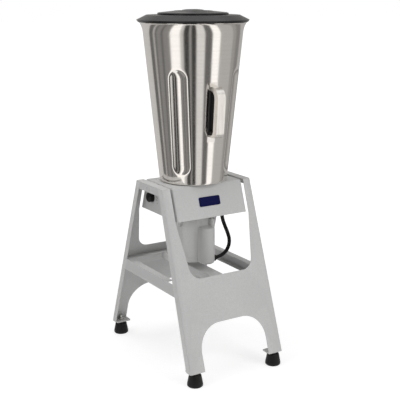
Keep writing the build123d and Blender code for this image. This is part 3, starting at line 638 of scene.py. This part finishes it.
@dataclass(frozen=True)
class PhotoCamera:
    """The camera at the photograph's viewpoint."""

    eye: Point = (-1.4430, -2.3434, 1.2119)
    azimuth: float = -32.09
    elevation: float = 13.89
    focal_pixels: float = 843.47
    picture_pixels: float = 400.0
    sensor: float = 36.0

    def build(self) -> bpy.types.Object:
        """Makes the camera and makes it the scene's.

        Returns:
            The camera.
        """
        lens = bpy.data.cameras.new("photo_camera")
        lens.sensor_fit = "HORIZONTAL"
        lens.sensor_width = self.sensor
        lens.lens = self.focal_pixels * self.sensor / self.picture_pixels
        lens.clip_end = 200.0
        camera = bpy.data.objects.new("photo_camera", lens)
        turn, drop = math.radians(self.azimuth), math.radians(self.elevation)
        look = Vector((-math.sin(turn) * math.cos(drop), math.cos(turn) * math.cos(drop), -math.sin(drop)))
        camera.rotation_euler = look.to_track_quat("-Z", "Y").to_euler()
        camera.location = self.eye
        bpy.context.scene.collection.objects.link(camera)
        bpy.context.scene.camera = camera
        return camera


@dataclass(frozen=True)
class MotorLead:
    """The black lead that loops from the head's gland down to the motor's."""

    route: tuple[Point, ...] = ((0.075, -0.06, 0.49), (0.0765, -0.06, 0.473), (0.087, -0.06, 0.445),
                                (0.099, -0.06, 0.419), (0.1075, -0.06, 0.393), (0.105, -0.06, 0.369),
                                (0.0915, -0.06, 0.3495), (0.071, -0.06, 0.339), (0.053, -0.06, 0.337))
    diameter: float = 0.0125
    length: float = 0.1904

    def build(self, finishes: FinishRack) -> bpy.types.Object:
        """Makes the lead as one NURBS curve.

        Args:
            finishes: the finishes.

        Returns:
            The lead.
        """
        curve = bpy.data.curves.new("lead", "CURVE")
        curve.dimensions = "3D"
        curve.bevel_depth = self.diameter / 2
        curve.bevel_resolution = 6
        curve.resolution_u = 12
        spline = curve.splines.new("NURBS")
        spline.points.add(len(self.route) - 1)
        for knot, place in zip(spline.points, self.route):
            knot.co = (*place, 1.0)
        spline.order_u = 3
        spline.use_endpoint_u = True
        lead = bpy.data.objects.new("lead", curve)
        bpy.context.scene.collection.objects.link(lead)
        put_on(lead, Piece("lead", Body.HEAD, "cable_jacket", Slot.PLASTIC, ("motor_lead",)), finishes)
        return lead


@dataclass(frozen=True)
class Cup:
    """The tall conical cup with its pressed flutes and rolled rim."""

    bottom: float = 0.6052
    base_radius: float = 0.112
    base_round: float = 0.005
    shoulder: float = 1.086
    shoulder_radius: float = 0.161
    rim: float = 1.117
    rim_radius: float = 0.172
    bead: float = 0.0022
    sheet: float = 0.0015
    floor: float = 0.003
    bore: float = 0.024
    flute_radius: float = 0.038
    flute_depth: float = 0.013
    flute_low: float = 0.668
    flute_high: float = 0.948
    flute_first: float = 39.0
    flute_count: int = 4
    flute_edge: float = 0.0024
    steps: int = 360

    @property
    def taper(self) -> float:
        """How much the radius grows with height."""
        return (self.shoulder_radius - self.base_radius) / (self.shoulder - self.bottom)

    def wall(self, height: float) -> float:
        """The straight wall's outer radius at a height."""
        return self.base_radius + (height - self.bottom) * self.taper

    def press(self, radius: float, height: float, azimuth: float) -> float:
        """How far the flutes push a point of the wall inwards.

        Args:
            radius: the point's radius before pressing.
            height: the point's height.
            azimuth: the point's azimuth in radians.

        Returns:
            The push in metres.
        """
        if radius < self.wall(height) - 3 * self.sheet:
            return 0.0
        sector = 2 * math.pi / self.flute_count
        turned = (azimuth - math.radians(self.flute_first) + sector / 2) % sector - sector / 2
        aside = self.wall(height) * math.sin(turned)
        beyond = max(self.flute_low - height, height - self.flute_high, 0.0)
        away = math.hypot(aside, beyond)
        if away >= self.flute_radius:
            return 0.0
        sunk = math.sqrt(self.flute_radius ** 2 - away ** 2) - (self.flute_radius - self.flute_depth)
        edge = self.flute_edge
        fade = math.sqrt((self.flute_radius - self.flute_depth) ** 2 + edge ** 2)
        return 0.5 * (sunk + math.sqrt(sunk ** 2 + edge ** 2)) - 0.5 * (fade - (self.flute_radius - self.flute_depth))

    def flare(self, inset: float, steps: int) -> list[tuple[float, float]]:
        """The curve from the shoulder out to the rim.

        Args:
            inset: how far the curve is set in from the outside.
            steps: the number of steps.

        Returns:
            (radius, height) points.
        """
        start = Vector((self.shoulder_radius - inset, self.shoulder))
        end = Vector((self.rim_radius - inset, self.rim))
        along = Vector((self.taper, 1.0)).normalized()
        side = Vector((along.y, -along.x))
        chord = end - start
        radius = chord.length_squared / (2 * chord.dot(side))
        centre = start + side * radius
        first = math.degrees(math.atan2(start.y - centre.y, start.x - centre.x))
        last = math.degrees(math.atan2(end.y - centre.y, end.x - centre.x))
        return arc((centre.x, centre.y), radius, first, first + (last - first + 180) % 360 - 180, steps)

    def profile(self) -> list[tuple[float, float]]:
        """The closed profile, from the bore under the floor, up outside and down inside."""
        low = self.bottom
        around = self.base_round
        corner = (self.base_radius - around * 0.95, low + around)
        points = line((self.bore, low), (corner[0], low), 0.012)
        points += arc(corner, around, -90, -6, 6)
        points += line((self.wall(low + around), low + around + 0.0008), (self.wall(0.63), 0.63), 0.004)
        points += line((self.wall(0.63), 0.63), (self.wall(0.988), 0.988), 0.0022)
        points += line((self.wall(0.988), 0.988), (self.shoulder_radius, self.shoulder), 0.006)
        points += self.flare(0.0, 14)[:-1]
        points += arc((self.rim_radius - self.sheet / 2, self.rim), self.bead, -20, 200, 12)
        points += self.flare(self.sheet, 10)[-2::-1]
        inner = self.sheet
        points += line((self.wall(1.08) - inner, 1.08), (self.wall(0.988) - inner, 0.988), 0.008)
        points += line((self.wall(0.988) - inner, 0.988), (self.wall(0.63) - inner, 0.63), 0.0026)
        top = low + self.floor
        points += line((self.wall(0.63) - inner, 0.63), (self.wall(top + 0.006) - inner, top + 0.006), 0.006)
        points += arc((self.wall(top) - inner - 0.006, top + 0.006), 0.006, 0, -90, 5)
        points += line((self.wall(top) - inner - 0.008, top), (self.bore, top), 0.012)
        points.append((self.bore, top))
        return points

    def build(self, finishes: FinishRack) -> bpy.types.Object:
        """Makes the cup.

        Args:
            finishes: the finishes.

        Returns:
            The cup.
        """
        points, faces = ring_surface(self.profile(), self.steps, self.press)
        piece = Piece("pressed_cup", Body.HEAD, "polished_stainless", Slot.STAINLESS, ("cup",))
        return add_mesh(points, faces, piece, finishes, angle=50.0)


@dataclass(frozen=True)
class Dial:
    """The plain marks printed round the switch knob."""

    face: float = -0.1335
    figure_place: tuple[float, float] = (0.0118, 0.5503)
    figure_height: float = 0.0125
    dot_place: tuple[float, float] = (0.0095, 0.5352)
    dot_radius: float = 0.0016
    tick_face: float = -0.17
    tick_place: tuple[float, float] = (0.0112, 0.589)
    tick_size: tuple[float, float] = (0.0016, 0.0135)
    ink: float = 0.0001

    def figure(self, text: str, finishes: FinishRack) -> bpy.types.Object:
        """Prints one figure on the head's left side.

        Args:
            text: the figure.
            finishes: the finishes.

        Returns:
            The figure as a mesh.
        """
        writing = bpy.data.curves.new("figure_" + text, "FONT")
        writing.body = text
        writing.size = self.figure_height / 0.7
        writing.align_x = "CENTER"
        writing.align_y = "CENTER"
        writing.extrude = self.ink
        maker = bpy.data.objects.new("figure_maker", writing)
        mesh = bpy.data.meshes.new_from_object(maker)
        bpy.data.objects.remove(maker)
        turn = Matrix(((0, 0, -1), (-1, 0, 0), (0, 1, 0))).to_4x4()
        mesh.transform(Matrix.Translation((self.face, *self.figure_place)) @ turn)
        made = bpy.data.objects.new("dial_figure_" + text, mesh)
        bpy.context.scene.collection.objects.link(made)
        return put_on(made, Piece(made.name, Body.HEAD, "printed_ink", Slot.PLASTIC), finishes)

    def mark(self, outline: Sequence[tuple[float, float]], face: float, piece: Piece,
             finishes: FinishRack) -> bpy.types.Object:
        """Prints a flat mark on a left-hand face.

        Args:
            outline: its corners as (rearward, up) places.
            face: the face's place along X.
            piece: where the mark goes.
            finishes: the finishes.

        Returns:
            The mark.
        """
        count = len(outline)
        points = [(x, y, z) for x in (face - self.ink, face + self.ink) for y, z in outline]
        faces: list[tuple[int, ...]] = [tuple(range(count)), tuple(range(2 * count - 1, count - 1, -1))]
        faces += [(k, (k + 1) % count, (k + 1) % count + count, k + count) for k in range(count)]
        return add_mesh(points, faces, piece, finishes)

    def build(self, finishes: FinishRack) -> None:
        """Prints the figure, its dot and the tick above the knob."""
        self.figure("2", finishes)
        dot = arc(self.dot_place, self.dot_radius, 0, 345, 23)
        self.mark(dot, self.face, Piece("dial_dot", Body.HEAD, "printed_ink", Slot.PLASTIC), finishes)
        (y, z), (width, height) = self.tick_place, self.tick_size
        tick = [(y - width / 2, z - height / 2), (y + width / 2, z - height / 2),
                (y + width / 2, z + height / 2), (y - width / 2, z + height / 2)]
        self.mark(tick, self.tick_face, Piece("dial_tick", Body.STAND, "printed_ink", Slot.PLASTIC), finishes)


@dataclass(frozen=True)
class PaintedSheet:
    """The painted stand, head and motor, which keep their CAD shapes."""

    sheet: tuple[str, ...] = ("front_plate", "rear_plate", "left_bridge", "right_bridge", "left_side_rail",
                              "right_side_rail", "front_cross_rail", "rear_cross_rail", "centre_rail",
                              "foot_plates", "head_housing", "head_base_plate", "pivot_pins")
    motor: tuple[str, ...] = ("capacitor_cover", "motor_frame", "motor_top_bell", "motor_bottom_bell")

    def build(self, finishes: FinishRack) -> None:
        """Paints the nodes."""
        dress_nodes(self.sheet, finishes["light_grey_paint"])
        dress_nodes(self.motor, finishes["motor_grey_paint"])


@dataclass(frozen=True)
class SmallParts:
    """The fasteners, mouldings and works that keep their CAD shapes."""

    def build(self, finishes: FinishRack) -> None:
        """Dresses the nodes."""
        groups = {
            "zinc_plate": ("foot_studs", "foot_nuts", "motor_lug_screws", "motor_flange_screws", "cup_bolts",
                           "stop_pin", "switch_spindle", "blade_nut"),
            "satin_stainless": ("handle", "blade_hub", "lower_blade", "upper_blade", "motor_shaft"),
            "machined_steel": ("pivot_doublers", "motor_mount_plate", "stator", "rotor_core",
                               "bearing_outer_rings", "bearing_inner_rings"),
            "black_rubber": ("front_right_foot", "front_left_foot", "rear_right_foot", "rear_left_foot",
                             "cup_gasket", "shaft_seal"),
            "black_plastic": ("handle_liner", "switch_knob", "switch_body", "box_gland", "motor_gland",
                              "thrust_washers", "cooling_fan"),
            "lid_moulding": ("lid", "filler_cap"),
            "bronze": ("pivot_bushes",),
            "drawn_aluminium": ("capacitor",),
            "navy_anodised": ("name_plate",),
        }
        for finish, names in groups.items():
            dress_nodes(names, finishes[finish])


@dataclass(frozen=True)
class Card:
    """One upright strip of the studio's ring, which only polished surfaces see."""

    name: str
    start: float
    end: float
    shade: Shade


@dataclass(frozen=True)
class Studio:
    """A white sweep, soft lamps and the ring of cards that gives steel its streaks."""

    camera_bearing: float = 237.9
    ring_radius: float = 1.35
    ring_height: float = 2.4
    ring_foot: float = 0.42
    ring_fade: float = 4.0
    ring_steps: int = 360
    floor_size: float = 60.0
    cards: tuple[Card, ...] = (
        Card("far_left", -180.0, -113.0, Shade.SILVER),
        Card("left_gap", -113.0, -99.0, Shade.CHARCOAL),
        Card("left_thin", -99.0, -93.0, Shade.GREY),
        Card("left_dark", -93.0, -87.0, Shade.CHARCOAL),
        Card("left_grey", -87.0, -75.0, Shade.SLATE),
        Card("left_line", -75.0, -69.0, Shade.CHARCOAL),
        Card("left", -69.0, -51.0, Shade.SLATE),
        Card("left_bright", -51.0, -28.0, Shade.WHITE),
        Card("left_edge", -28.0, -20.0, Shade.SILVER),
        Card("middle_dark", -20.0, -8.0, Shade.BLACK),
        Card("middle_line", -8.0, -3.0, Shade.DIM),
        Card("middle_black", -3.0, 8.0, Shade.BLACK),
        Card("middle", 8.0, 27.0, Shade.PALE),
        Card("middle_dim", 27.0, 44.0, Shade.CHARCOAL),
        Card("right_bright", 44.0, 63.0, Shade.WHITE),
        Card("right", 63.0, 100.0, Shade.GREY),
        Card("right_dim", 100.0, 113.0, Shade.DIM),
        Card("far_right_dark", 113.0, 131.0, Shade.SLATE),
        Card("far_right", 131.0, 180.0, Shade.GREY),
    )

    def brightness(self, bearing: float) -> float:
        """How bright the ring is at a bearing from the camera's side.

        Args:
            bearing: the bearing in degrees, from -180 to 180.

        Returns:
            The brightness, with each card's edges faded into the next.
        """
        total = 0.0
        for card in self.cards:
            rise = min(max((bearing - card.start) / self.ring_fade + 0.5, 0.0), 1.0)
            fall = min(max((card.end - bearing) / self.ring_fade + 0.5, 0.0), 1.0)
            total += card.shade.value * min(rise, fall)
        return total

    def ring_material(self) -> bpy.types.Material:
        """A glowing surface as bright as the mesh's own glow values.

        Returns:
            The material.
        """
        made = bpy.data.materials.new("ring_of_cards")
        made.use_nodes = True
        graph = Graph(made.node_tree)
        graph.tree.nodes.clear()
        level = graph.node("Attribute")
        level.attribute_name = "glow"
        glow = graph.node("Emission")
        glow.inputs["Color"].default_value = (1.0, 0.985, 0.965, 1.0)
        graph.join(level.outputs["Fac"], glow.inputs["Strength"])
        graph.join(glow.outputs[0], graph.node("OutputMaterial").inputs["Surface"])
        return made

    def add_ring(self) -> bpy.types.Object:
        """Stands the ring of cards round the machine.

        Returns:
            The ring.
        """
        points: list[Point] = []
        glows: list[float] = []
        for k in range(self.ring_steps + 1):
            offset = 360.0 * k / self.ring_steps - 180.0
            bearing = math.radians(self.camera_bearing + offset)
            x, y = math.cos(bearing), math.sin(bearing)
            points += [(x * self.ring_foot, y * self.ring_foot, 0.002)]
            points += [(x * self.ring_radius, y * self.ring_radius, z) for z in (0.002, self.ring_height)]
            glows += [self.brightness(offset)] * 3
        mesh = bpy.data.meshes.new("ring_of_cards")
        mesh.from_pydata(points, [], [(3 * k + j, 3 * k + j + 3, 3 * k + j + 4, 3 * k + j + 1)
                                      for k in range(self.ring_steps) for j in range(2)])
        mesh.attributes.new("glow", "FLOAT", "POINT").data.foreach_set("value", glows)
        mesh.materials.append(self.ring_material())
        made = bpy.data.objects.new("ring_of_cards", mesh)
        bpy.context.scene.collection.objects.link(made)
        made.visible_camera = False
        made.visible_diffuse = False
        made.visible_shadow = False
        made.visible_transmission = False
        return made

    def add_lamp(self, name: str, place: Point, aim: Point, size: float, power: float) -> None:
        """Hangs a soft square lamp.

        Args:
            name: the lamp's name.
            place: where it hangs.
            aim: the point that it faces.
            size: its side length.
            power: its power in watts.
        """
        light = bpy.data.lights.new(name, "AREA")
        light.size = size
        light.energy = power
        lamp = bpy.data.objects.new(name, light)
        lamp.location = place
        lamp.rotation_euler = (Vector(aim) - Vector(place)).to_track_quat("-Z", "Y").to_euler()
        lamp.visible_glossy = False
        bpy.context.scene.collection.objects.link(lamp)

    def add_floor(self) -> None:
        """Lays the white floor, which keeps a faint shadow."""
        half = self.floor_size / 2
        mesh = bpy.data.meshes.new("floor")
        mesh.from_pydata([(-half, -half, 0), (half, -half, 0), (half, half, 0), (-half, half, 0)], [], [(0, 1, 2, 3)])
        made = bpy.data.materials.new("white_sweep")
        made.use_nodes = True
        graph = Graph(made.node_tree)
        graph.tree.nodes.clear()
        lit = graph.node("BsdfDiffuse")
        lit.inputs["Color"].default_value = (0.36, 0.36, 0.36, 1.0)
        away = graph.tree.nodes.new("ShaderNodeVectorMath")
        away.operation = "LENGTH"
        graph.join(graph.node("TexCoord").outputs["Object"], away.inputs[0])
        glow = graph.node("Emission")
        graph.join(graph.spread(away.outputs["Value"], 0.7, 3.0, 0.74, 1.0), glow.inputs["Strength"])
        seen = graph.node("AddShader")
        graph.join(lit.outputs[0], seen.inputs[0])
        graph.join(glow.outputs[0], seen.inputs[1])
        bounce = graph.node("BsdfDiffuse")
        bounce.inputs["Color"].default_value = (0.8, 0.8, 0.8, 1.0)
        choice = graph.node("MixShader")
        path = graph.node("LightPath")
        direct = graph.maths("MAXIMUM", path.outputs["Is Camera Ray"], path.outputs["Is Glossy Ray"])
        graph.join(direct, choice.inputs[0])
        graph.join(bounce.outputs[0], choice.inputs[1])
        graph.join(seen.outputs[0], choice.inputs[2])
        graph.join(choice.outputs[0], graph.node("OutputMaterial").inputs["Surface"])
        mesh.materials.append(made)
        floor = bpy.data.objects.new("floor", mesh)
        bpy.context.scene.collection.objects.link(floor)

    def add_world(self) -> None:
        """A plain fill light, seen as white by the camera and in gloss."""
        world = bpy.data.worlds.new("white_room")
        world.use_nodes = True
        bpy.context.scene.world = world
        graph = Graph(world.node_tree)
        graph.tree.nodes.clear()
        fill = graph.node("Background", Strength=0.34)
        fill.inputs["Color"].default_value = (1.0, 1.0, 1.0, 1.0)
        white = graph.node("Background", Strength=1.0)
        white.inputs["Color"].default_value = (1.0, 1.0, 1.0, 1.0)
        path = graph.node("LightPath")
        seen = graph.maths("MAXIMUM", path.outputs["Is Camera Ray"], path.outputs["Is Glossy Ray"])
        seen = graph.maths("MAXIMUM", seen, path.outputs["Is Transmission Ray"])
        choice = graph.node("MixShader")
        graph.join(seen, choice.inputs[0])
        graph.join(fill.outputs[0], choice.inputs[1])
        graph.join(white.outputs[0], choice.inputs[2])
        graph.join(choice.outputs[0], graph.node("OutputWorld").inputs["Surface"])

    def build(self) -> None:
        """Sets up the room, the lamps and the ring of cards."""
        self.add_floor()
        self.add_world()
        self.add_lamp("front_lamp", (1.2, -3.2, 2.6), (0.0, 0.0, 0.5), 2.2, 56.0)
        self.add_lamp("top_lamp", (-0.6, 0.4, 3.6), (0.0, 0.0, 0.6), 2.4, 52.0)
        self.add_lamp("left_lamp", (-3.4, -0.4, 1.8), (0.0, 0.0, 0.5), 1.8, 22.0)
        self.add_ring()


def main() -> None:
    """Builds the machine and its studio."""
    logging.basicConfig(level=logging.INFO, format="%(name)s: %(message)s")
    bpy.context.scene.view_settings.view_transform = "Standard"
    PhotoCamera().build()
    log.info("camera placed")
    finishes = FinishRack()
    parts = (MotorLead(), Cup(), PaintedSheet(), SmallParts(), Dial())
    for part in parts:
        part.build(finishes)
        log.info("%s built", type(part).__name__)
    Studio().build()
    log.info("studio lit")


if __name__ == "__main__":
    main()
